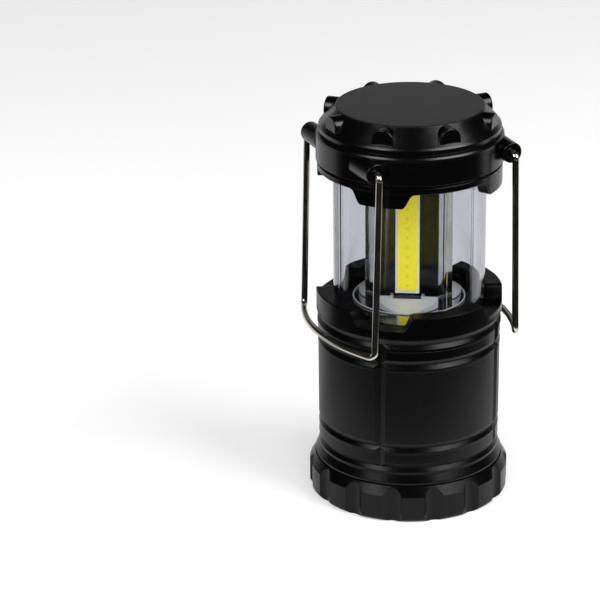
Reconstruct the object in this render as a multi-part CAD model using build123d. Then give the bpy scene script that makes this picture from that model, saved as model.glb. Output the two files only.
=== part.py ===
from build123d import *
import os
from math import cos, radians, sin

# Small pull-up camping lantern, standing pulled up, in millimetres.
# +Z is up, the origin is on the surface it stands on, on the lantern's axis.
# The bails hang on the -X and +X sides, and their pivots run along Y.

# ---- driving dimensions ------------------------------------------------------------------
HEIGHT = 125.0            # pulled up, floor to the cap's top face
TRAVEL = 38.6             # how far the head slides down
DIAGONALS = [45, 135, 225, 315]
THIRDS = [0, 120, 240]    # directions that the three light faces look in, from +X
CORNERS = [60, 180, 300]  # directions of the core's narrow faces

# twist-off base cap
CAP_R = 31.1              # over the lands
CAP_TOP = 11.5
CAP_TOP_R = 29.2
CAP_LAND_TOP = 8.5
CAP_FLOOR = 2.2
FLUTES = 15
FLUTE_R = 4.1
FLUTE_DEPTH = 1.45

# outer shell
PANEL_R = 28.1
COLLAR_R = 28.7
LIP_Z = 11.8
LIP_R = 29.2
RIM_Z = 66.5
RIM_BORE_R = 23.75        # the clear tube runs in it
SHOULDER_Z = 55.0         # the tube's flange stops under it
BORE_R = 26.1
NECK_R = 27.4             # goes down into the base cap
NECK_BORE_R = 25.4
NECK_Z = 3.0
LEDGE_Z = (10.3, 12.3)
LEDGE_R = 21.5
GROOVE_ROOTS = [57.6, 51.0, 23.5, 16.9]
GROOVE_DEPTH = 0.75
GROOVE_UP = 1.6           # height of a groove's upper wall
GROOVE_DOWN = 1.25        # height of its lower wall
CHANNEL_W = 4.4           # upright channels on the diagonals
CHANNEL_DEPTH = 0.7
NOTCH_HALF = (11.9, 7.2)  # half width at the rim and at the floor
NOTCH_FLOOR = 62.2

# bayonet between the neck and the base cap
LUG_R = 28.25
LUG_Z = (5.0, 7.0)
LUG_HALF_DEG = 6
TWIST_DEG = 30
BAYONET_R = 27.75
SLOT_R = 28.6

# head
RING_Z = RIM_Z + TRAVEL + 0.4   # underside of the cap ring, which stops just above the rim
RING_TOP = 107.8
RING_R = 28.2
TAB_Z = 101.2
TAB_HALF = (11.2, 6.5)
BAND_Z = 108.1            # underside of the cap's band
BAND_R = 28.6
BEVEL_R = 27.7
DISC_R = 22.5
CAP_BORE_R = 26.5
PEG_R = 3.5
PEG_Z = 121.25
PEG_FOOT_Z = 119.2
PEG_FACE = 26.6           # axis to a peg's flat face
PEGS = 8

# bail pivots
PIVOT_X = 22.64
PIVOT_Z = 112.85
BOSS_FACE_Y = 23.13
BOSS_R = 3.15
WIRE_R = 1.05
WIRE_HOLE_R = 1.13
LEG_Y = 25.1
LEG_DROP = 57.3           # pivot to the bar
BAR_TURN_DEG = 26         # how far the bar's ends swing out of the pivots' plane
BEND_R = 2.2
TOP_BEND_R = 1.7
LEFT_LEAN_DEG = 1.5       # the bails hang out against the shell
RIGHT_LEAN_DEG = 1.1

# clear tube
TUBE_R = 23.4
TUBE_BORE_R = 21.9
TUBE_Z = (53.0, 108.4)
RIB_R = 24.05
RIB_W = 1.15
FLANGE_T = 1.5

# light core: a hollow post with three wide faces and three narrow ones
CORE_Z = (57.0, 105.6)
CORE_FLAT = 10.0          # axis to a wide face
CORE_HALF = 9.3           # half the width of a wide face
CORE_WALL = 0.8
PAN_Z = (62.4, 63.4)      # flat mirrored pan round the core's foot
PAN_LIP_R = (17.0, 17.4)
PAN_LIP_Z = 63.9
TRAY_R = 21.5
RAMP_X = 17.5             # a flat ramp falls away from here, in front of each dish
RAMP_HALF = 9.0
RAMP_DEG = 21.5
RAMP_FOOT_Z = 60.9
DISH_BACK_Z = 66.9        # a dish slopes from here, at the light face, down to the pan's lip
DISH_TIP_R = 17.6
DISH_HALF = 9.3
DISH_LIP = 0.4            # width of its raised edge
DISH_DEPTH = 1.5
DISH_BEND_R = (11.0, 43.0)  # down the slope, and across it
SLOT_W = 9.0              # the slot in a dish that the light board's foot stands over
BOARD_W = 7.2
BOARD_T = 0.9
BOARD_Z = (68.2, 107.2)
STRIP_W = 6.0
STRIP_T = 0.5
STRIP_Z = (69.1, 103.4)
DOT_PITCH = 3.1

# cells and the tower that holds them
CELL_R = 5.2
CELL_RING_R = 6.08        # axis to a cell's centre
CELL_Z = (7.0, 51.5)
NUB_H = 0.8
TOWER_WALL = 0.55
TOWER_TOP = 54.0
TOWER_ROOF = 1.2
FLANGE_Z = (8.5, 10.3)
FLANGE_R = 25.2
RAIL_Z = (57.5, 94.0)     # the leaves run off the rails' top when the head is nearly down
LEAF_R = 8.0              # axis to a switch leaf's rivet
RIVET_R = 0.55
BOARD_R = 20.0            # driver board
POST_RING_R = 17.0        # axis to the cap's screw posts
SCREW_RING_R = 23.4       # axis to the tower's screws
SCREW_R = 0.9
SCREW_HEAD_R = 1.75
PILOT_R = 0.92


ABOVE = (Align.CENTER, Align.CENTER, Align.MIN)
BELOW = (Align.CENTER, Align.CENTER, Align.MAX)


def ring(r_out, r_in, z0, z1):
    """A round collar between two heights."""
    height = z1 - z0
    return Pos(0, 0, z0) * extrude(Circle(r_out) - Circle(r_in), height)


def disc(r, z0, z1):
    return Pos(0, 0, z0) * extrude(Circle(r), z1 - z0)


def turned(points):
    """A solid of revolution from an outline of (radius, height) points."""
    outline = Polyline(*points, close=True)
    return revolve(make_face(Plane.XZ * outline), Axis.Z)


def around(shape, angles):
    """Copies of a shape made for the +X direction, turned to each angle."""
    return [Rot(0, 0, angle) * shape for angle in angles]


def hexagon(flat, half):
    """The core's section: three faces of width 2*half at distance flat, joined by narrow faces."""
    points = []
    for angle in THIRDS:
        c, s = cos(radians(angle)), sin(radians(angle))
        points += [(flat * c + half * s, flat * s - half * c),
                   (flat * c - half * s, flat * s + half * c)]
    return make_face(Polyline(*points, close=True))


def inset_hexagon(inset):
    return offset(hexagon(CORE_FLAT, CORE_HALF), -inset, kind=Kind.INTERSECTION)


def notch_wedge(half_top, half_floor, z_floor, z_top, r_in, r_out):
    """A notch or tab facing +X: flat floor and S-shaped flanks, narrowing towards the axis."""
    def section(x):
        grow = 0.78 + 0.22 * (x - RIM_BORE_R) / (COLLAR_R - RIM_BORE_R)
        top, floor = half_top * grow, half_floor * grow
        middle = (top + floor) / 2
        right = Bezier((top, z_top), (middle, z_top), (middle, z_floor), (floor, z_floor))
        left = Bezier((-floor, z_floor), (-middle, z_floor), (-middle, z_top), (-top, z_top))
        lid = z_top + 3
        lines = [right, Line((floor, z_floor), (-floor, z_floor)), left,
                 Polyline((-top, z_top), (-top, lid), (top, lid), (top, z_top))]
        plane = Plane(origin=(x, 0, 0), x_dir=(0, 1, 0), z_dir=(1, 0, 0))
        return plane * make_face(Curve() + lines)
    return loft([section(r_in), section(r_out)], ruled=True)


# ---- base ----------------------------------------------------------------------------------
def groove_points(root_z, r):
    """Outline of one ring groove, from its upper edge down."""
    return [(r, root_z + GROOVE_UP), (r - GROOVE_DEPTH, root_z), (r, root_z - GROOVE_DOWN),
            (r, root_z - GROOVE_DOWN - 0.8), (r - 0.12, root_z - GROOVE_DOWN - 0.95)]


def body_shell():
    g1, g2, g3, g4 = GROOVE_ROOTS
    panel = PANEL_R
    outline = [(RIM_BORE_R, RIM_Z), (COLLAR_R - 0.35, RIM_Z), (COLLAR_R, RIM_Z - 0.3)]
    outline += [(COLLAR_R, g1 + GROOVE_UP + 0.4), (COLLAR_R - 0.3, g1 + GROOVE_UP)]
    outline += groove_points(g1, panel + 0.35)[1:]
    outline += groove_points(g2, panel + 0.2)
    outline += groove_points(g3, panel)
    outline += groove_points(g4, panel)
    outline += [(panel + 0.15, 14.2), (LIP_R - 0.15, 12.7), (LIP_R, 12.4), (LIP_R - 0.1, LIP_Z)]
    outline += [(NECK_R, LIP_Z), (NECK_R, NECK_Z + 0.4), (NECK_R - 0.4, NECK_Z)]
    outline += [(NECK_BORE_R, NECK_Z), (NECK_BORE_R, LEDGE_Z[0]), (LEDGE_R, LEDGE_Z[0])]
    outline += [(LEDGE_R, LEDGE_Z[1]), (BORE_R, LEDGE_Z[1]), (BORE_R, SHOULDER_Z)]
    outline += [(RIM_BORE_R, SHOULDER_Z)]
    shell = turned(outline)

    notch = notch_wedge(*NOTCH_HALF, NOTCH_FLOOR, RIM_Z, RIM_BORE_R - 2, COLLAR_R + 2)
    section = Polyline((PANEL_R + 1, -CHANNEL_W * 0.95), (PANEL_R - CHANNEL_DEPTH, 0),
                       (PANEL_R + 1, CHANNEL_W * 0.95), close=True)
    low, high = GROOVE_ROOTS[3], GROOVE_ROOTS[0]
    channel = Pos(0, 0, low) * extrude(make_face(section), high - low)
    shell -= around(notch, DIAGONALS)
    shell -= around(channel, DIAGONALS)

    rib_slot = Pos(RIM_BORE_R, 0, (RIM_Z + SHOULDER_Z) / 2) * Box(1.3, RIB_W + 0.8, 14)
    shell -= around(rib_slot, [0, 90, 180, 270])
    lug = ring(LUG_R, NECK_R - 0.5, *LUG_Z) & sector(LUG_HALF_DEG)
    shell += around(lug, THIRDS)
    pilot = Pos(SCREW_RING_R, 0, LEDGE_Z[0]) * Cylinder(PILOT_R, 10)
    shell -= around(pilot, CORNERS)
    return shell


def sector(half_deg, turn_deg=0.0, r=40.0):
    """A tall wedge about the axis that spans +-half_deg about +X, stretched on by turn_deg."""
    steps = [-half_deg, turn_deg / 2, half_deg + turn_deg]
    points = [(r * cos(radians(a)), r * sin(radians(a))) for a in steps]
    return extrude(make_face(Polyline((0, 0), *points, close=True)), 200)


def base_cap():
    outline = [(0, 0.8), (25.0, 0.8), (26.0, 0), (CAP_R - 1.0, 0), (CAP_R - 0.15, 0.75),
               (CAP_R, 1.3), (CAP_R, CAP_LAND_TOP), (CAP_TOP_R + 0.2, CAP_TOP - 0.15),
               (CAP_TOP_R, CAP_TOP), (BAYONET_R, CAP_TOP), (BAYONET_R, CAP_FLOOR), (0, CAP_FLOOR)]
    cap = turned(outline)
    flute = Pos(CAP_R - FLUTE_DEPTH + FLUTE_R, 0, 8) * Cylinder(FLUTE_R, 30)
    step = 360 / FLUTES
    first = -90 + step / 2
    cap -= around(flute, [first + step * i for i in range(FLUTES)])
    entry = ring(SLOT_R, BAYONET_R - 0.5, LUG_Z[0] - 0.4, CAP_TOP + 1) & sector(LUG_HALF_DEG + 1)
    run = ring(SLOT_R, BAYONET_R - 0.5, LUG_Z[0] - 0.4, LUG_Z[1] + 0.4)
    run &= sector(LUG_HALF_DEG + 1, TWIST_DEG)
    entry = Rot(0, 0, TWIST_DEG) * entry
    cap -= around(entry, THIRDS)
    cap -= around(run, THIRDS)
    return cap


def battery_tower():
    """Post round the cells, on a flange that is screwed up against the shell's ledge."""
    wall = CORE_WALL + 0.3
    section = inset_hexagon(wall)
    bottom = FLANGE_Z[0]
    tower = Pos(0, 0, bottom) * extrude(section, TOWER_TOP - bottom)
    tower += disc(FLANGE_R, *FLANGE_Z)
    cavity = inset_hexagon(wall + TOWER_WALL)
    tower -= Pos(0, 0, bottom - 1) * extrude(cavity, TOWER_TOP - TOWER_ROOF - bottom + 1)
    rivet_holes = [Pos(x, y, TOWER_TOP) * Cylinder(RIVET_R + 0.05, 4) for x, y in leaf_feet()]
    tower -= rivet_holes
    tower -= around(Pos(SCREW_RING_R, 0, FLANGE_Z[0]) * Cylinder(SCREW_R + 0.2, 10), CORNERS)
    return tower


def cell_centres():
    return [(CELL_RING_R * cos(radians(a)), CELL_RING_R * sin(radians(a))) for a in CORNERS]


def battery_cell(centre):
    x, y = centre
    body_top = CELL_Z[1] - NUB_H
    profile = make_face(Polyline((0, CELL_Z[0]), (CELL_R - 0.5, CELL_Z[0]), (CELL_R, CELL_Z[0] + 0.5),
                                 (CELL_R, body_top - 0.7), (CELL_R - 0.7, body_top), (1.9, body_top),
                                 (1.9, CELL_Z[1]), (0, CELL_Z[1]), close=True))
    return Pos(x, y, 0) * revolve(Plane.XZ * profile, Axis.Z)


def cell_contact_plates():
    """Sheet contacts over the cells' tops, under the top board."""
    plate = extrude(Circle(3.4), 0.3)
    return [Pos(x, y, CELL_Z[1]) * plate for x, y in cell_centres()]


def top_contact_board():
    board = Pos(0, 0, CELL_Z[1] + 0.3) * extrude(inset_hexagon(1.8), 1.0)
    return board - [Pos(x, y, CELL_Z[1]) * Cylinder(RIVET_R + 0.05, 4) for x, y in leaf_feet()]


def leaf_feet():
    """Where the two switch leaves are riveted to the tower's roof."""
    return [(LEAF_R * cos(radians(a)), LEAF_R * sin(radians(a))) for a in CORNERS[:2]]


def switch_leaves():
    """Two bent strips on the tower's roof, whose tips run on the rails inside the core."""
    t = 0.25
    path = [(6.4, TOWER_TOP), (10.1, TOWER_TOP), (10.9, 58.0), (12.05, 58.9), (11.3, 59.7)]
    back = [(x - 0.05, z + t) for x, z in path[:1]] + [(9.9, TOWER_TOP + t), (10.65, 58.15)]
    outline = path + [(11.1, 59.55), (11.72, 58.9)] + back[::-1]
    strip = extrude(Plane.XZ * make_face(Polyline(*outline, close=True)), 1.4, both=True)
    foot = CELL_Z[1] + 0.35
    rivet = Pos(LEAF_R, 0, foot) * Cylinder(RIVET_R, TOWER_TOP + 0.4 - foot, align=ABOVE)
    return [Rot(0, 0, a) * (strip + rivet) for a in CORNERS[:2]]


def spring_board():
    """Round board on the base cap's floor, under the cells."""
    return disc(13.5, CAP_FLOOR, CAP_FLOOR + 1.0)


def cell_springs():
    """Coil contacts that push the cells up, just short of touching at rest."""
    z0 = CAP_FLOOR + 1.0
    wire, turns_r, height = 0.3, 2.5, 3.0
    coil = Helix(pitch=0.95, height=height, radius=turns_r)
    start = Plane(origin=coil @ 0, z_dir=coil % 0)
    spring = Pos(0, 0, z0 + wire + 0.02) * sweep(start * Circle(wire), path=coil, is_frenet=True)
    return [Pos(x, y, 0) * spring for x, y in cell_centres()]


def tower_screws():
    """Self-tapping screws from below, through the tower's flange into the ledge."""
    shank = Cylinder(SCREW_R, 3.4, align=ABOVE)
    head = Cylinder(SCREW_HEAD_R, 1.2, align=BELOW)
    cross = Pos(0, 0, -1.1) * (Box(2.2, 0.45, 0.8) + Box(0.45, 2.2, 0.8))
    screw = Pos(SCREW_RING_R, 0, FLANGE_Z[0]) * (head + shank - cross)
    return around(screw, CORNERS)


# ---- head ----------------------------------------------------------------------------------
def peg():
    """D-shaped peg on the bevel, facing +X: round on top, flat below and in front."""
    section = Pos(0, PEG_Z) * Circle(PEG_R)
    section += Pos(0, (PEG_Z + PEG_FOOT_Z) / 2) * Rectangle(2 * PEG_R, PEG_Z - PEG_FOOT_Z)
    section -= Pos(0, PEG_FOOT_Z - 5) * Rectangle(20, 10)
    plane = Plane(origin=(18, 0, 0), x_dir=(0, 1, 0), z_dir=(1, 0, 0))
    body = extrude(plane * section, PEG_FACE - 18)
    return fillet(body.faces().sort_by(Axis.X)[-1].edges(), 0.45)


def bosses():
    """The four bail bosses: side of the lantern in X, and the way that each one faces in Y."""
    return [(x, side) for x in (-PIVOT_X, PIVOT_X) for side in (-1, 1)]


def boss_axis(x, side, distance):
    """Plane across a boss's axis, at a distance from the lantern's middle, facing outward."""
    return Plane(origin=(x, side * distance, PIVOT_Z), z_dir=(0, side, 0))


def boss(start):
    body = Cone(BOSS_R + 0.45, BOSS_R, BOSS_FACE_Y - start, align=ABOVE)
    return fillet(body.edges().sort_by(Axis.Z)[-1], 0.35)


def cap_shell():
    outline = [(0, HEIGHT), (DISC_R - 0.25, HEIGHT), (DISC_R, HEIGHT - 0.12),
               (26.6, 120.3), (27.25, 119.6), (BEVEL_R, 119.0), (BEVEL_R, 117.9),
               (BEVEL_R - 0.3, 117.55), (28.15, 116.95), (28.5, 116.4), (BAND_R - 0.02, 115.6),
               (BAND_R, BAND_Z + 0.35), (BAND_R - 0.35, BAND_Z), (CAP_BORE_R, BAND_Z)]
    solid = turned(outline + [(0, BAND_Z)])
    solid += around(peg(), [360 / PEGS * i for i in range(PEGS)])
    solid += [boss_axis(x, side, 12.0) * boss(12.0) for x, side in bosses()]
    cavity = [(0, 123.0), (21.4, 123.0), (25.4, 118.4), (CAP_BORE_R, 116.0),
              (CAP_BORE_R, 112.0), (24.0, 111.0), (24.0, 108.7), (25.5, 108.7), (25.5, 110.1),
              (CAP_BORE_R, 110.1), (CAP_BORE_R, BAND_Z - 1), (0, BAND_Z - 1)]
    solid -= turned(cavity)
    board_top = CORE_Z[1] + 1.0
    post = disc(2.4, board_top, HEIGHT - 1) - disc(PILOT_R, board_top - 1, 116.0)
    post = Pos(POST_RING_R, 0, 0) * post
    solid += around(post, CORNERS)
    for x, side in bosses():
        mouth = boss_axis(x, side, BOSS_FACE_Y)
        solid -= mouth * Cylinder(WIRE_HOLE_R, 6.2, align=BELOW)
        solid -= mouth * Cylinder(1.95, 0.6, align=BELOW)
    return solid


def cap_ring():
    """Lower ring of the cap, with the four tabs that drop into the rim's notches."""
    outline = [(23.75, RING_Z + 0.2), (23.95, RING_Z), (RING_R - 0.3, RING_Z), (RING_R, RING_Z + 0.3),
               (RING_R, RING_TOP - 0.5), (RING_R - 0.5, RING_TOP), (26.2, RING_TOP), (26.2, 109.9),
               (25.8, 109.9), (25.8, 107.0), (23.75, 107.0)]
    body = turned(outline)
    wedge = notch_wedge(*TAB_HALF, TAB_Z, RING_Z, RIM_BORE_R - 2, COLLAR_R + 2)
    tab = wedge & ring(RING_R - 0.05, 24.4, TAB_Z - 1, RING_Z + 0.6)
    body += around(tab, DIAGONALS)
    return body


def lens_tube():
    low, high = TUBE_Z
    tube = ring(TUBE_R, TUBE_BORE_R, low, high)
    tube += ring(25.4, TUBE_R - 0.2, low, low + FLANGE_T)
    tube += ring(25.5, TUBE_R - 0.2, 107.2, high)
    rib = Pos((TUBE_R + RIB_R) / 2 - 0.1, 0, 80) * Box(RIB_R - TUBE_R + 0.2, RIB_W, 50)
    tube += around(rib, [0, 90, 180, 270])
    return tube


def reflector_core():
    low, high = CORE_Z
    core = Pos(0, 0, low) * extrude(hexagon(CORE_FLAT, CORE_HALF) - inset_hexagon(CORE_WALL), high - low)
    face = corner_distance() - CORE_WALL
    for angle in CORNERS[:2]:
        shallow = Pos(face, 0, RAIL_Z[1]) * Box(0.3, 3.3, RAIL_Z[1], align=BELOW)
        deep = Pos(face, 0, RAIL_Z[1] - 1) * Box(0.8, 3.3, high, align=ABOVE)
        core -= Rot(0, 0, angle) * shallow
        core -= Rot(0, 0, angle) * deep
    return core


def corner_distance():
    """Axis to a narrow face: the middle of two neighbouring corners of the section."""
    return (CORE_FLAT + CORE_HALF * 3 ** 0.5) / 2


def contact_rails():
    """Strips in the core's recesses: the leaves touch them except when the head is down."""
    face = corner_distance() - CORE_WALL
    bottom, top = RAIL_Z
    track = Pos(face + 0.025, 0, bottom) * Box(0.25, 3.1, top - bottom, align=ABOVE)
    riser = Pos(face + 0.275, 0, CORE_Z[1]) * Box(0.25, 3.1, CORE_Z[1] - top + 0.95, align=BELOW)
    return around(track + riser, CORNERS[:2])


def dish_outline(inset):
    """A dish from above: straight along the light face, bowed sides and a blunt tip, facing +X."""
    back, shoulder = CORE_FLAT + inset, CORE_FLAT + 0.9
    half, tip = DISH_HALF - inset, DISH_TIP_R - inset
    left = Bezier((shoulder, half), (shoulder + 2.1, half - 1.1), (tip - 0.6, half / 2), (tip, 0))
    right = Bezier((tip, 0), (tip - 0.6, -half / 2), (shoulder + 2.1, 1.1 - half), (shoulder, -half))
    straight = Polyline((shoulder, -half), (back, -half), (back, half), (shoulder, half))
    return make_face(Curve() + [left, right, straight])


def dish_hollow():
    """Barrel that hollows a dish: it bends tightly down the slope and gently across it."""
    reach = 10
    edge = -DISH_DEPTH + reach ** 2 / (2 * DISH_BEND_R[1])
    axis_z = DISH_BEND_R[0] - DISH_DEPTH
    curve = ThreePointArc((-reach, edge), (0, -DISH_DEPTH), (reach, edge))
    section = Curve() + [curve, Polyline((reach, edge), (reach, axis_z), (-reach, axis_z), (-reach, edge))]
    plane = Plane(origin=(0, 0, 0), x_dir=(0, 1, 0), z_dir=(1, 0, 0))
    return revolve(plane * make_face(section), Axis((0, 0, axis_z), (0, 1, 0)))


def dish():
    """Concave mirror in front of the foot of a light board, with guides at its slot's ends."""
    run, rise = DISH_TIP_R - CORE_FLAT, DISH_BACK_Z - PAN_LIP_Z
    slope = Plane(origin=(CORE_FLAT, 0, DISH_BACK_Z), x_dir=(run, 0, -rise), z_dir=(rise, 0, run))
    foot = Pos(0, 0, PAN_Z[1] - 0.4)
    block = foot * extrude(dish_outline(0), 8) - slope * Pos(0, 0, 10) * Box(60, 60, 20)
    hollow = slope * Pos(run / 2, 0, 0) * dish_hollow() & foot * extrude(dish_outline(DISH_LIP), 8)
    beside = (Align.MIN, Align.CENTER, Align.MIN)
    slot = Pos(CORE_FLAT, 0, 64.6) * Box(1.15, SLOT_W, 5, align=beside)
    guide = Pos(CORE_FLAT + 0.1, 0, 65.4) * Box(1.2, 0.9, 1.8, align=beside)
    guides = [Pos(0, y, 0) * guide for y in (-SLOT_W / 2 - 0.2, SLOT_W / 2 + 0.2)]
    return block - hollow - slot + guides


def ramp_block():
    """Thicker part of the tray that a ramp is cut into, facing +X."""
    block = Pos(RAMP_X - 1, 0, RAMP_FOOT_Z) * Box(10, 2 * RAMP_HALF + 1.6, PAN_Z[1] - RAMP_FOOT_Z,
                                                  align=(Align.MIN, Align.CENTER, Align.MIN))
    return block & disc(TRAY_R, RAMP_FOOT_Z, PAN_Z[1])


def ramp_cut():
    """What lies above a ramp: a flat mirror that shows the light strip to someone in front."""
    above = Box(12, 2 * RAMP_HALF, 6, align=(Align.MIN, Align.CENTER, Align.MIN))
    return Pos(RAMP_X, 0, PAN_Z[1]) * Rot(0, RAMP_DEG, 0) * above


def reflector_tray():
    """Mirrored pan with a raised lip, three ramps outside the lip, and three dishes inside it."""
    low, high = PAN_Z
    tray = disc(TRAY_R, low, high) + ring(PAN_LIP_R[1], PAN_LIP_R[0], low, PAN_LIP_Z)
    tray += around(ramp_block(), THIRDS)
    tray -= around(ramp_cut(), THIRDS)
    tray += around(dish(), THIRDS)
    core = offset(hexagon(CORE_FLAT, CORE_HALF), 0.1, kind=Kind.INTERSECTION)
    return tray - Pos(0, 0, low - 1) * extrude(core, 12)


def top_reflector():
    hole = Pos(0, 0, 100) * extrude(offset(hexagon(CORE_FLAT, CORE_HALF), 0.15,
                                           kind=Kind.INTERSECTION), 8)
    boards = Pos(CORE_FLAT + 0.7, 0, 104) * Box(1.6, BOARD_W + 0.4, 8)
    return disc(21.6, 103.9, 104.7) - hole - around(boards, THIRDS)


def cob_board():
    low, high = BOARD_Z
    return Pos(CORE_FLAT + BOARD_T / 2, 0, (low + high) / 2) * Box(BOARD_T, BOARD_W, high - low)


def cob_phosphor():
    low, high = STRIP_Z
    plane = Plane(origin=(CORE_FLAT + BOARD_T, 0, (low + high) / 2), x_dir=(0, 1, 0), z_dir=(1, 0, 0))
    strip = extrude(plane * RectangleRounded(STRIP_W, high - low, 0.9), STRIP_T)
    strip = chamfer(strip.faces().sort_by(Axis.X)[-1].edges(), 0.15)
    count = int((high - low - 2) / DOT_PITCH) + 1
    start = (low + high - DOT_PITCH * (count - 1)) / 2
    surface = CORE_FLAT + BOARD_T + STRIP_T
    dots = [Pos(surface, 0, start + DOT_PITCH * i) * Rot(0, 90, 0) * Cylinder(0.27, 0.2)
            for i in range(count)]
    return strip - dots


def driver_board():
    board = disc(BOARD_R, CORE_Z[1], CORE_Z[1] + 1.0)
    slot = Pos(CORE_FLAT + BOARD_T / 2, 0, 106) * Box(BOARD_T + 0.2, BOARD_W + 0.2, 4)
    hole = Pos(POST_RING_R, 0, 106) * Cylinder(1.1, 4)
    return board - around(slot, THIRDS) - around(hole, CORNERS)


def driver_components():
    """Resistors and one driver chip on top of the board."""
    top = CORE_Z[1] + 1.0
    resistors = [Pos(4.0 * i - 4.0, 3.5, top + 0.3) * Box(3.2, 1.6, 0.6) for i in range(3)]
    return resistors + [Pos(0, -3.5, top + 0.75) * Box(5.0, 4.0, 1.5)]


def board_screws():
    """Self-tapping screws through the driver board into the cap's posts."""
    screw = Cylinder(SCREW_HEAD_R, 0.8, align=BELOW) + Cylinder(SCREW_R, 7.9, align=ABOVE)
    return around(Pos(POST_RING_R, 0, CORE_Z[1]) * screw, CORNERS)


# ---- bails ---------------------------------------------------------------------------------
def bail(side):
    """Wire handle: ends in the cap's bosses, straight legs, and a bar that curves round the shell."""
    turn = radians(BAR_TURN_DEG)
    along = Vector(-sin(turn), cos(turn), 0)
    foot = Vector(-PIVOT_X, -LEG_Y, PIVOT_Z - LEG_DROP)
    bend_top = foot + Vector(0, 0, BEND_R)
    bend_end = foot + along * BEND_R
    bend_mid = bend_top + along * BEND_R - (Vector(0, 0, 1) + along) * (BEND_R / 2 ** 0.5)
    bar_r = -bend_end.Y / sin(turn)
    bar_mid = Vector(bend_end.X - bar_r * (1 - cos(turn)), 0, foot.Z)

    def flip(p):
        return Vector(p.X, -p.Y, p.Z)

    x, z = -PIVOT_X, PIVOT_Z
    inner = Vector(x, -17.3, z)
    out = Vector(x, -LEG_Y + TOP_BEND_R, z)
    down = Vector(x, -LEG_Y, z - TOP_BEND_R)
    k = TOP_BEND_R * (1 - 0.5 ** 0.5)
    elbow = Vector(x, -LEG_Y + k, z - k)
    half = [Line(inner, out), ThreePointArc(out, elbow, down), Line(down, bend_top),
            ThreePointArc(bend_top, bend_mid, bend_end)]
    other = [ThreePointArc(flip(bend_end), flip(bend_mid), flip(bend_top)),
             Line(flip(bend_top), flip(down)), ThreePointArc(flip(down), flip(elbow), flip(out)),
             Line(flip(out), flip(inner))]
    path = Wire(half + [ThreePointArc(bend_end, bar_mid, flip(bend_end))] + other)
    wire = sweep(Plane(origin=inner, z_dir=(0, -1, 0)) * Circle(WIRE_R), path=path)
    lean = LEFT_LEAN_DEG if side < 0 else RIGHT_LEAN_DEG
    wire = Pos(x, 0, z) * Rot(0, lean, 0) * Pos(-x, 0, -z) * wire
    return wire if side < 0 else Rot(0, 0, 180) * wire


# ---- nodes ---------------------------------------------------------------------------------
nodes = {
    "base_cap": base_cap(),
    "spring_board": spring_board(),
    "cell_springs": cell_springs(),
    "body_shell": body_shell(),
    "battery_tower": battery_tower(),
    "tower_screws": tower_screws(),
    "cell_contact_plates": cell_contact_plates(),
    "top_contact_board": top_contact_board(),
    "switch_leaves": switch_leaves(),
    "cap_shell": cap_shell(),
    "cap_ring": cap_ring(),
    "lens_tube": lens_tube(),
    "reflector_core": reflector_core(),
    "contact_rails": contact_rails(),
    "reflector_tray": reflector_tray(),
    "top_reflector": top_reflector(),
    "driver_board": driver_board(),
    "driver_components": driver_components(),
    "board_screws": board_screws(),
    "left_bail": bail(-1),
    "right_bail": bail(1),
}
for number, centre in enumerate(cell_centres(), start=1):
    nodes[f"battery_cell_{number}"] = battery_cell(centre)
for number, angle in enumerate(THIRDS, start=1):
    nodes[f"cob_board_{number}"] = Rot(0, 0, angle) * cob_board()
    nodes[f"cob_phosphor_{number}"] = Rot(0, 0, angle) * cob_phosphor()

os.makedirs("parts", exist_ok=True)
for name, shape in nodes.items():
    if isinstance(shape, list):
        shape = Compound(children=[s for part in shape for s in part.solids()])
    export_step(shape, f"parts/{name}.step")
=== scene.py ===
from math import cos, pi, radians, sin

import bpy
from mathutils import Matrix, Vector


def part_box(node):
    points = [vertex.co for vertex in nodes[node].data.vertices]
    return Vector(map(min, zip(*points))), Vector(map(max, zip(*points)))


# A pull-up camping lantern: materials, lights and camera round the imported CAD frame.
# Metres, in the row frame. Azimuths are seen from above, from -Y towards +X.

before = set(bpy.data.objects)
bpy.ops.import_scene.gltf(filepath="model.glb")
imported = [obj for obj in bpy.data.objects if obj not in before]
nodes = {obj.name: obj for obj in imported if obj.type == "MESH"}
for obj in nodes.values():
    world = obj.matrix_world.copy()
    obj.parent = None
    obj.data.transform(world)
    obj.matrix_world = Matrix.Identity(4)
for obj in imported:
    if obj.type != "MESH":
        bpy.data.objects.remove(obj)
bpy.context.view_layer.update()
scene = bpy.context.scene
MM = 0.001


# ---- camera --------------------------------------------------------------------------------
CAMERA_AZIMUTH = -27.0
CAMERA_ELEVATION = 21.68
CAMERA_DISTANCE = 0.839
CAMERA_AIM = Vector((0, 0, 61.2 * MM))
CAMERA_PAN = 2.305        # turned left, so that the lantern stands right of centre
CAMERA_ROLL = 0.31
CAMERA_LENS = 162.5
CAMERA_SENSOR = 36.0

DIE_PITCH = 3.1 * MM      # spacing of the light dies along a strip
PANEL_ZONE = (25.0 * MM, 49.4 * MM)    # the body's matte panel, between its grooves
DISC_ZONE = (124.8 * MM, 126 * MM)     # the cap's matte top face
DISH_ZONE = (63.8 * MM, 68 * MM)       # the frosted dishes and the tray's raised lip

FLOOR_SIDE = 12
FLOOR_DROP = 0.05 * MM                 # how far the floor lies under the lantern
FLAG_RISE = 0.5 * MM                   # how far the dark card lies over the floor
FLAG_DISTANCE = 0.575
FLAG_SIZE = (2.4, 1.25)
FLAG_HOLE = (0.12, 0.075)              # half width and half depth of its opening round the lantern
FLAG_FADE = (0.8, 1.2)                 # the opening's soft edge, as shares of those halves
LIGHTS_AIM = Vector((0, 0, 60 * MM))

# A view direction's height, 0 level and 1 straight up, over which the world fades.
SURROUND_FADE = (0.35, 0.60)
SWEEP_FADE = (0.05, 0.24)
SWEEP_EDGE = (0.45, 0.95)              # 1 is straight behind the lantern, as the camera sees it


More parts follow.
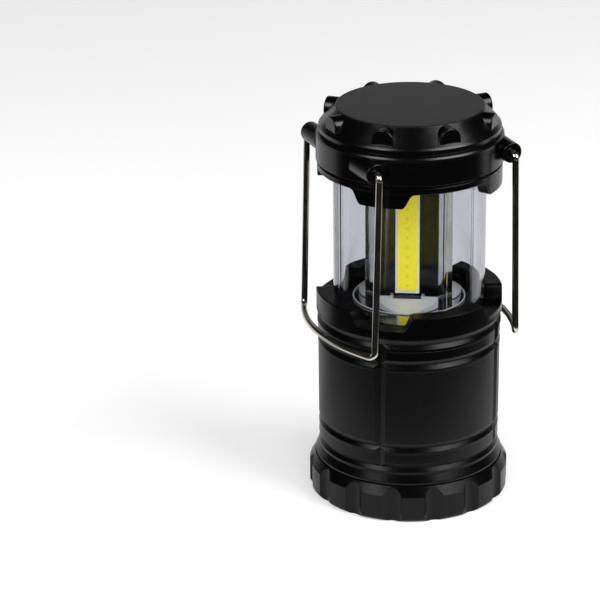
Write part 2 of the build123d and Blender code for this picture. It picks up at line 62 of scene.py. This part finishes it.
def direction(azimuth, elevation):
    """Unit vector from the lantern towards an azimuth and elevation in degrees."""
    a, e = radians(azimuth), radians(elevation)
    return Vector((sin(a) * cos(e), -cos(a) * cos(e), sin(e)))


def make_camera():
    data = bpy.data.cameras.new("camera")
    data.lens = CAMERA_LENS
    data.sensor_width = CAMERA_SENSOR
    data.clip_start = 0.01
    camera = bpy.data.objects.new("camera", data)
    scene.collection.objects.link(camera)
    away = direction(CAMERA_AZIMUTH, CAMERA_ELEVATION)
    right = Vector((cos(radians(CAMERA_AZIMUTH)), sin(radians(CAMERA_AZIMUTH)), 0))
    up = away.cross(right)
    pan = Matrix.Rotation(radians(CAMERA_PAN), 3, up)
    away, right = pan @ away, pan @ right
    roll = Matrix.Rotation(radians(CAMERA_ROLL), 3, away)
    right, up = roll @ right, roll @ up
    place = CAMERA_AIM + direction(CAMERA_AZIMUTH, CAMERA_ELEVATION) * CAMERA_DISTANCE
    turn = Matrix((right, up, away)).transposed().to_4x4()
    camera.matrix_world = Matrix.Translation(place) @ turn
    scene.camera = camera


# ---- shader helpers ------------------------------------------------------------------------
def add(tree, kind, values=None, **settings):
    """A new shader node. A value is a constant, or the output socket that feeds the input."""
    made = tree.nodes.new(kind)
    for key, value in settings.items():
        setattr(made, key, value)
    for socket, value in (values or {}).items():
        if isinstance(value, bpy.types.NodeSocket):
            tree.links.new(value, made.inputs[socket])
        else:
            made.inputs[socket].default_value = value
    return made


def new_material(name, **constants):
    """A material, its node tree, its Principled shader, and the row-frame position socket."""
    material = bpy.data.materials.new(name)
    material.use_nodes = True
    tree = material.node_tree
    shader = tree.nodes["Principled BSDF"]
    for key, value in constants.items():
        shader.inputs[key.replace("_", " ")].default_value = value
    position = add(tree, "ShaderNodeTexCoord").outputs["Object"]
    return material, tree, shader, position


def noise(tree, position, scale, detail=2.0, roughness=0.5, distortion=0.0):
    values = {"Vector": position, "Scale": scale, "Detail": detail, "Roughness": roughness,
              "Distortion": distortion}
    return add(tree, "ShaderNodeTexNoise", values).outputs[0]


def remap(tree, value, low, high, to_low, to_high):
    values = {"Value": value, "From Min": low, "From Max": high, "To Min": to_low, "To Max": to_high}
    return add(tree, "ShaderNodeMapRange", values).outputs[0]


def math(tree, operation, a, b=0.0):
    made = add(tree, "ShaderNodeMath", operation=operation)
    for socket, value in zip(made.inputs, (a, b)):
        if isinstance(value, bpy.types.NodeSocket):
            tree.links.new(value, socket)
        else:
            socket.default_value = value
    return made.outputs[0]


def blend_colours(tree, factor, a, b):
    """Two colours mixed. Each is three numbers, or the output socket that makes it."""
    a, b = [c if isinstance(c, bpy.types.NodeSocket) else (*c, 1) for c in (a, b)]
    return add(tree, "ShaderNodeMix", {0: factor, 6: a, 7: b}, data_type="RGBA").outputs[2]


def bump(tree, height, distance, strength=1.0, normal=None):
    values = {"Height": height, "Distance": distance, "Strength": strength}
    if normal is not None:
        values["Normal"] = normal
    return add(tree, "ShaderNodeBump", values).outputs[0]


def soft_edges(tree, radius):
    return add(tree, "ShaderNodeBevel", {"Radius": radius}, samples=4).outputs[0]


def feed(tree, shader, **sockets):
    for key, value in sockets.items():
        tree.links.new(value, shader.inputs[key.replace("_", " ")])


# ---- materials -----------------------------------------------------------------------------
def heights(tree, position, bands, fade=0.3 * MM):
    """1 inside any of the height bands and 0 outside, for a finish that only some zones have."""
    z = add(tree, "ShaderNodeSeparateXYZ", {0: position}).outputs[2]
    total = None
    for low, high in bands:
        rise = remap(tree, z, low - fade, low, 0, 1)
        fall = remap(tree, z, high, high + fade, 1, 0)
        inside = math(tree, "MULTIPLY", rise, fall)
        total = inside if total is None else math(tree, "MAXIMUM", total, inside)
    return total


def black_plastic(name, roughness=0.24, specular=0.21, matte_bands=()):
    """Moulded black ABS: satin, with a fine spark-eroded grain, and rougher in the matte bands."""
    material, tree, shader, position = new_material(name, Specular_IOR_Level=specular)
    grain = noise(tree, position, 2600, 3, 0.65)
    cloud = noise(tree, position, 90, 4, 0.6)
    specks = remap(tree, noise(tree, position, 1500, 1), 0.80, 0.86, 0, 0.25)
    colour = blend_colours(tree, cloud, (0.0004, 0.0004, 0.0005), (0.0010, 0.0010, 0.0011))
    rough = remap(tree, grain, 0.3, 0.7, roughness - 0.04, roughness + 0.04)
    if matte_bands:
        matte = heights(tree, position, matte_bands)
        colour = blend_colours(tree, matte, colour, (0.0022, 0.0022, 0.0024))
        rough = math(tree, "ADD", rough, math(tree, "MULTIPLY", matte, 0.13))
    colour = blend_colours(tree, specks, colour, (0.25, 0.25, 0.25))
    pits = noise(tree, position, 3400, 2, 0.5)
    normal = bump(tree, pits, 0.05 * MM, 0.7, soft_edges(tree, 0.16 * MM))
    normal = bump(tree, grain, 0.02 * MM, 0.6, normal)
    feed(tree, shader, Base_Color=colour, Roughness=rough, Normal=normal)
    return material


def nickel_wire():
    material, tree, shader, position = new_material("nickel_wire", Metallic=1.0)
    cloud = noise(tree, position, 220, 3, 0.6)
    colour = blend_colours(tree, cloud, (0.60, 0.56, 0.50), (0.74, 0.70, 0.64))
    fine = noise(tree, position, 3200, 2, 0.6)
    rough = math(tree, "ADD", remap(tree, cloud, 0.3, 0.7, 0.10, 0.17), math(tree, "MULTIPLY", fine, 0.05))
    feed(tree, shader, Base_Color=colour, Roughness=rough, Normal=bump(tree, fine, 0.004 * MM, 0.4))
    return material


def mirror_plating(name, satin_bands=()):
    """Vacuum-plated plastic: bright with a slight orange peel, cloudy, and frosted in the bands."""
    material, tree, shader, position = new_material(name, Metallic=1.0)
    peel = noise(tree, position, 260, 3, 0.55)
    dust = remap(tree, noise(tree, position, 2400, 3, 0.7), 0.56, 0.74, 0, 1)
    cloud = remap(tree, noise(tree, position, 140, 4, 0.6, 0.6), 0.40, 0.65, 0, 1)
    colour = blend_colours(tree, cloud, (0.62, 0.63, 0.65), (0.54, 0.55, 0.55))
    colour = blend_colours(tree, math(tree, "MULTIPLY", dust, 0.5), colour, (0.80, 0.81, 0.80))
    rough = math(tree, "ADD", remap(tree, peel, 0.3, 0.7, 0.04, 0.09), math(tree, "MULTIPLY", dust, 0.2))
    if satin_bands:
        satin = heights(tree, position, satin_bands)
        colour = blend_colours(tree, satin, colour, (0.68, 0.68, 0.65))
        rough = math(tree, "ADD", rough, math(tree, "MULTIPLY", satin, 0.24))
        feed(tree, shader, Metallic=remap(tree, satin, 0, 1, 1, 0.35))
    normal = bump(tree, peel, 0.05 * MM, 0.35, soft_edges(tree, 0.2 * MM))
    feed(tree, shader, Base_Color=colour, Roughness=rough, Normal=normal)
    return material


def clear_plastic():
    """Clear moulded tube, faintly blue where it is seen edge on."""
    material, tree, shader, position = new_material(
        "clear_plastic", Transmission_Weight=1.0, IOR=1.49, Base_Color=(0.985, 0.99, 1.0, 1))
    flow = noise(tree, position, 70, 3, 0.5)
    rough = remap(tree, noise(tree, position, 900, 3, 0.7), 0.45, 0.8, 0.012, 0.06)
    feed(tree, shader, Roughness=rough, Normal=bump(tree, flow, 0.08 * MM, 0.25))
    through = add(tree, "ShaderNodeBsdfTransparent", {"Color": (0.93, 0.94, 0.96, 1)})
    is_shadow = add(tree, "ShaderNodeLightPath").outputs["Is Shadow Ray"]
    mix = add(tree, "ShaderNodeMixShader", {0: is_shadow, 1: shader.outputs[0], 2: through.outputs[0]})
    out = tree.nodes["Material Output"]
    tree.links.new(mix.outputs[0], out.inputs["Surface"])
    absorb = add(tree, "ShaderNodeVolumeAbsorption", {"Color": (0.62, 0.63, 0.675, 1), "Density": 430.0})
    tree.links.new(absorb.outputs[0], out.inputs["Volume"])
    return material


def phosphor(name):
    """Yellow silicone over a row of light dies, with a faint painted glow, and small browner spots of
    painted shade in the dimples over the dies.
    """
    # painted glow: a faint yellow emission brightens the strip, which is not switched on
    material, tree, shader, position = new_material(
        name, Roughness=0.42, Emission_Color=(1.0, 0.84, 0.03, 1), Emission_Strength=0.17,
        Subsurface_Weight=0.15,
        Subsurface_Radius=(0.8 * MM, 0.6 * MM, 0.1 * MM), Subsurface_Scale=1.0)
    low, high = [Vector(corner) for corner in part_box(name)]
    middle = (low + high) / 2
    gel = noise(tree, position, 500, 4, 0.6)
    colour = blend_colours(tree, gel, (0.88, 0.74, 0.025), (0.97, 0.86, 0.05))
    local = add(tree, "ShaderNodeVectorMath", {0: position, 1: middle}, operation="SUBTRACT").outputs[0]
    x, y, z = add(tree, "ShaderNodeSeparateXYZ", {0: local}).outputs
    step = math(tree, "PINGPONG", z, DIE_PITCH / 2)
    flat = add(tree, "ShaderNodeCombineXYZ", {0: x, 1: y, 2: step}).outputs[0]
    distance = add(tree, "ShaderNodeVectorMath", {0: flat}, operation="LENGTH").outputs["Value"]
    # painted shade: browner spots at the die pitch stand in for the shade in the small dimples over the
    # dies
    painted_dimple_shade = remap(tree, distance, 0.35 * MM, 0.70 * MM, 0.4, 0)
    colour = blend_colours(tree, painted_dimple_shade, colour, (0.50, 0.36, 0.01))
    feed(tree, shader, Base_Color=colour, Normal=bump(tree, gel, 0.05 * MM, 0.3))
    return material


def plain(name, low, high, rough, scale=400, metallic=0.0, grain=0.02 * MM, **constants):
    """A worked surface of one kind: two close tones, a roughness range and a fine bump."""
    material, tree, shader, position = new_material(name, Metallic=metallic, **constants)
    cloud = noise(tree, position, scale, 4, 0.6)
    fine = noise(tree, position, scale * 6, 2, 0.6)
    feed(tree, shader, Base_Color=blend_colours(tree, cloud, low, high),
         Roughness=remap(tree, cloud, 0.3, 0.7, *rough),
         Normal=bump(tree, fine, grain, 0.5, soft_edges(tree, 0.1 * MM)))
    return material


def dress(material, *names):
    for name in names:
        mesh = nodes[name].data
        mesh.materials.clear()
        mesh.materials.append(material)


def numbered(stem):
    return [f"{stem}_{number}" for number in (1, 2, 3)]


def paint_everything():
    dress(black_plastic("black_body", matte_bands=[PANEL_ZONE]), "body_shell")
    dress(black_plastic("black_cap", 0.21, 0.37, [DISC_ZONE]), "cap_shell")
    dress(black_plastic("black_ring", 0.21, 0.27), "cap_ring")
    dress(black_plastic("black_foot"), "base_cap")
    dress(plain("inner_plastic", (0.02, 0.02, 0.022), (0.03, 0.03, 0.033), (0.4, 0.5)), "battery_tower")
    dress(clear_plastic(), "lens_tube")
    dress(mirror_plating("mirror_plating"), "reflector_core", "top_reflector")
    dress(mirror_plating("mirror_tray", [DISH_ZONE]), "reflector_tray")
    dress(plain("white_board", (0.80, 0.80, 0.78), (0.88, 0.88, 0.86), (0.3, 0.4)), *numbered("cob_board"))
    for name in numbered("cob_phosphor"):
        dress(phosphor(name), name)
    board = plain("circuit_board", (0.02, 0.10, 0.04), (0.03, 0.15, 0.06), (0.3, 0.4))
    dress(board, "spring_board", "top_contact_board", "driver_board")
    dress(plain("component_black", (0.01, 0.01, 0.01), (0.03, 0.03, 0.03), (0.4, 0.6)), "driver_components")
    jacket = plain("cell_jacket", (0.10, 0.13, 0.17), (0.13, 0.17, 0.22), (0.28, 0.36), metallic=0.6)
    dress(jacket, *numbered("battery_cell"))
    brass = plain("contact_brass", (0.60, 0.47, 0.22), (0.72, 0.58, 0.30), (0.2, 0.32), metallic=1.0)
    dress(brass, "cell_contact_plates", "switch_leaves", "contact_rails")
    spring = plain("spring_steel", (0.45, 0.45, 0.44), (0.60, 0.60, 0.58), (0.18, 0.28), metallic=1.0)
    dress(spring, "cell_springs")
    zinc = plain("screw_steel", (0.38, 0.38, 0.40), (0.50, 0.50, 0.52), (0.25, 0.38), metallic=1.0)
    dress(zinc, "tower_screws", "board_screws")
    dress(nickel_wire(), "left_bail", "right_bail")


# ---- floor, lights and world ---------------------------------------------------------------
def plane(name, centre, size, material):
    half_x, half_y = size[0] / 2, size[1] / 2
    mesh = bpy.data.meshes.new(name)
    corners = [(-half_x, -half_y, 0), (half_x, -half_y, 0), (half_x, half_y, 0), (-half_x, half_y, 0)]
    mesh.from_pydata(corners, [], [(0, 1, 2, 3)])
    mesh.materials.append(material)
    made = bpy.data.objects.new(name, mesh)
    made.location = centre
    scene.collection.objects.link(made)
    return made


def make_floor():
    """A wide pale floor that glows a little, so that it stays white far away."""
    material, tree, shader, position = new_material(
        "floor", Roughness=0.6, Specular_IOR_Level=0.2, Emission_Color=(1, 1, 1, 1), Emission_Strength=0.26)
    tone = noise(tree, position, 6, 2)
    feed(tree, shader, Base_Color=blend_colours(tree, tone, (0.91, 0.91, 0.91), (0.93, 0.93, 0.93)))
    plane("floor", (0, 0, -FLOOR_DROP), (FLOOR_SIDE, FLOOR_SIDE), material)


def make_flag():
    """A dark card on the floor, open round the lantern, that only reflections see."""
    material, tree, shader, position = new_material("flag", Roughness=0.9, Specular_IOR_Level=0.0)
    shader.inputs["Base Color"].default_value = (0.01, 0.01, 0.01, 1)
    path = add(tree, "ShaderNodeLightPath").outputs
    reflected = math(tree, "GREATER_THAN", path["Glossy Depth"], 0.5)
    spread = (1 / FLAG_HOLE[0], 1 / FLAG_HOLE[1], 1)
    hole = (0, FLAG_DISTANCE, 0)      # the lantern's place on the card
    shifted = add(tree, "ShaderNodeVectorMath", {0: position, 1: hole}, operation="SUBTRACT")
    scaled = add(tree, "ShaderNodeVectorMath", {0: shifted.outputs[0], 1: spread}, operation="MULTIPLY")
    reach = add(tree, "ShaderNodeVectorMath", {0: scaled.outputs[0]}, operation="LENGTH").outputs["Value"]
    reflected = math(tree, "MULTIPLY", reflected, remap(tree, reach, *FLAG_FADE, 0, 1))
    clear = add(tree, "ShaderNodeBsdfTransparent").outputs[0]
    mix = add(tree, "ShaderNodeMixShader", {0: reflected, 1: clear, 2: shader.outputs[0]})
    tree.links.new(mix.outputs[0], tree.nodes["Material Output"].inputs["Surface"])
    middle = direction(CAMERA_AZIMUTH, 0) * FLAG_DISTANCE
    card = plane("flag", (middle.x, middle.y, FLAG_RISE), FLAG_SIZE, material)
    card.rotation_euler = (0, 0, radians(CAMERA_AZIMUTH))
    card.visible_diffuse = False
    card.visible_shadow = False


def softbox(name, azimuth, elevation, distance, size, radiance):
    """A rectangular light that faces the lantern. Azimuth is counted from the camera's, + right."""
    data = bpy.data.lights.new(name, "AREA")
    data.shape = "RECTANGLE"
    data.size, data.size_y = size
    data.energy = radiance * pi * size[0] * size[1]
    light = bpy.data.objects.new(name, data)
    towards = direction(CAMERA_AZIMUTH + azimuth, elevation)
    light.location = LIGHTS_AIM + towards * distance
    light.rotation_euler = towards.to_track_quat("Z", "Y").to_euler()
    light.visible_camera = False
    light.visible_transmission = False
    scene.collection.objects.link(light)
    return light


def make_world():
    """A white surround. Reflections see the studio instead: a pale sweep behind, dark elsewhere."""
    world = bpy.data.worlds.new("studio")
    world.use_nodes = True
    scene.world = world
    tree = world.node_tree
    background = tree.nodes["Background"]
    look = add(tree, "ShaderNodeTexCoord").outputs["Generated"]
    z = add(tree, "ShaderNodeSeparateXYZ", {0: look}).outputs[2]
    surround = remap(tree, z, *SURROUND_FADE, 1, 0.1)
    behind = -direction(CAMERA_AZIMUTH, 0)
    back = add(tree, "ShaderNodeVectorMath", {0: look, 1: behind}, operation="DOT_PRODUCT").outputs["Value"]
    sweep = math(
        tree, "MULTIPLY", remap(tree, back, *SWEEP_EDGE, 0, 1), remap(tree, z, *SWEEP_FADE, 1, 0))
    reflected = add(tree, "ShaderNodeLightPath").outputs["Glossy Depth"]
    level = add(tree, "ShaderNodeMix", {0: reflected, 2: surround, 3: sweep}, data_type="FLOAT").outputs[0]
    colour = blend_colours(tree, level, (0.012, 0.012, 0.013), (1.0, 1.0, 1.0))
    tree.links.new(colour, background.inputs["Color"])


def make_lights():
    softbox("key_right", azimuth=60, elevation=42, distance=1.1, size=(0.75, 0.55), radiance=7.2)
    softbox("key_left", azimuth=-45, elevation=42, distance=1.1, size=(0.36, 0.55), radiance=7.2)
    fill = softbox("front_fill", azimuth=4, elevation=16, distance=1.0, size=(0.6, 0.3), radiance=7.0)
    fill.visible_glossy = False       # or the flat top mirrors it when seen from behind
    softbox("back_low", azimuth=180, elevation=28, distance=0.3, size=(0.3, 0.06), radiance=0.28)


make_camera()
paint_everything()
make_floor()
make_flag()
make_world()
make_lights()
scene.view_settings.view_transform = "Standard"
